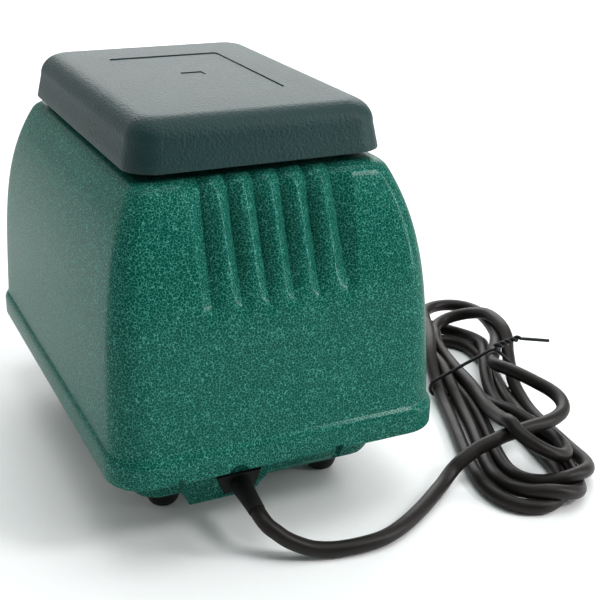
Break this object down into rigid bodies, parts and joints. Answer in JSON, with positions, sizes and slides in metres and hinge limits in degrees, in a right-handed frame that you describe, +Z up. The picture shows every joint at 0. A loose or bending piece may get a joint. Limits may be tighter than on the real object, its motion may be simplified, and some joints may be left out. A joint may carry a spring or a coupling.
{
  "type": "air pump",
  "caption": "Linear diaphragm air pump for ponds and tanks: cast housing with fluted ends, lift-off filter cover, air tank base on rubber feet, hose outlet and mains lead.",
  "frame": {"origin": "on the floor under the middle of the pump's bounding box, hose outlet included, lead and plug left out", "axes": "+Z up, +Y from the front face with the cord gland to the rear with the hose outlet, +X to the right seen from the front"},
  "size_m": [0.3199, 0.3091, 0.216],
  "materials": {
    "housing_paint": "die-cast aluminium under metallic green veined stove enamel",
    "cover_plastic": "fine spark-grained dark blue-green moulding",
    "filter_foam": "open-cell foam",
    "rubber": "moulded, matt",
    "cord_rubber": "moulded, matt",
    "cord_sheath": "extruded sheath, slight sheen",
    "zinc_steel": "zinc plated",
    "plug_brass": "nickel-washed brass",
    "cast_aluminium": "as cast",
    "lamination_steel": "stacked laminations, varnished",
    "taped_winding": "varnished copper winding",
    "ferrite": "sintered magnet",
    "nylon": "moulded",
    "moulded_resin": "moulded"
  },
  "bodies": {
    "case": {"air_tube_front": "rubber", "air_tube_rear": "rubber", "coil_left": "taped_winding", "coil_right": "taped_winding", "cord_gland": "cord_rubber", "cord_hank": "cord_sheath", "cover_grommet_front_left": "rubber", "cover_grommet_front_right": "rubber", "cover_grommet_rear_left": "rubber", "cover_grommet_rear_right": "rubber", "deck_plate": "cast_aluminium", "diaphragm_frame_front": "cast_aluminium", "diaphragm_frame_rear": "cast_aluminium", "diaphragm_front": "rubber", "diaphragm_rear": "rubber", "exhaust_valve_front": "rubber", "exhaust_valve_rear": "rubber", "foot_front_left": "rubber", "foot_front_right": "rubber", "foot_rear_left": "rubber", "foot_rear_right": "rubber", "head_cover_front": "nylon", "head_cover_rear": "nylon", "housing_gasket": "rubber", "housing_screw_front_left": "zinc_steel", "housing_screw_front_right": "zinc_steel", "housing_screw_rear_left": "zinc_steel", "housing_screw_rear_right": "zinc_steel", "intake_valve_front": "rubber", "intake_valve_rear": "rubber", "lower_housing": "housing_paint", "magnet_core_left": "lamination_steel", "magnet_core_right": "lamination_steel", "mains_lead": "cord_sheath", "mains_plug": "cord_sheath", "motor_frame": "cast_aluminium", "mount_bush_front_left": "rubber", "mount_bush_front_right": "rubber", "mount_bush_rear_left": "rubber", "mount_bush_rear_right": "rubber", "outlet_nozzle": "cast_aluminium", "plug_blade_1": "plug_brass", "plug_blade_2": "plug_brass", "strain_relief": "cord_rubber", "tank_gasket": "rubber", "terminal_block": "moulded_resin", "thermal_cutout": "moulded_resin", "upper_housing": "housing_paint", "valve_body_front": "nylon", "valve_body_rear": "nylon"},
    "cover": {"filter_cover": "cover_plastic"},
    "filter": {"filter_element": "filter_foam"},
    "armature": {"armature_rod": "zinc_steel", "magnet_front": "ferrite", "magnet_rear": "ferrite", "diaphragm_plate_front": "zinc_steel", "diaphragm_plate_rear": "zinc_steel", "rod_nut_front": "zinc_steel", "rod_nut_rear": "zinc_steel"}
  },
  "joints": [
    {"name": "cover_lift", "type": "slide", "parent": "case", "child": "cover", "axis": [0, 0, 1], "range_m": [0, 0.06]},
    {"name": "filter_lift", "type": "slide", "parent": "case", "child": "filter", "axis": [0, 0, 1], "range_m": [0, 0.03]},
    {"name": "armature_stroke", "type": "slide", "parent": "case", "child": "armature", "axis": [0, 1, 0], "range_m": [-0.0015, 0.0015], "stiffness_N_per_m": 20000}
  ],
  "couplings": [
    {"joint": "filter_lift", "follows": "cover_lift", "ratio": 0.5}
  ]
}
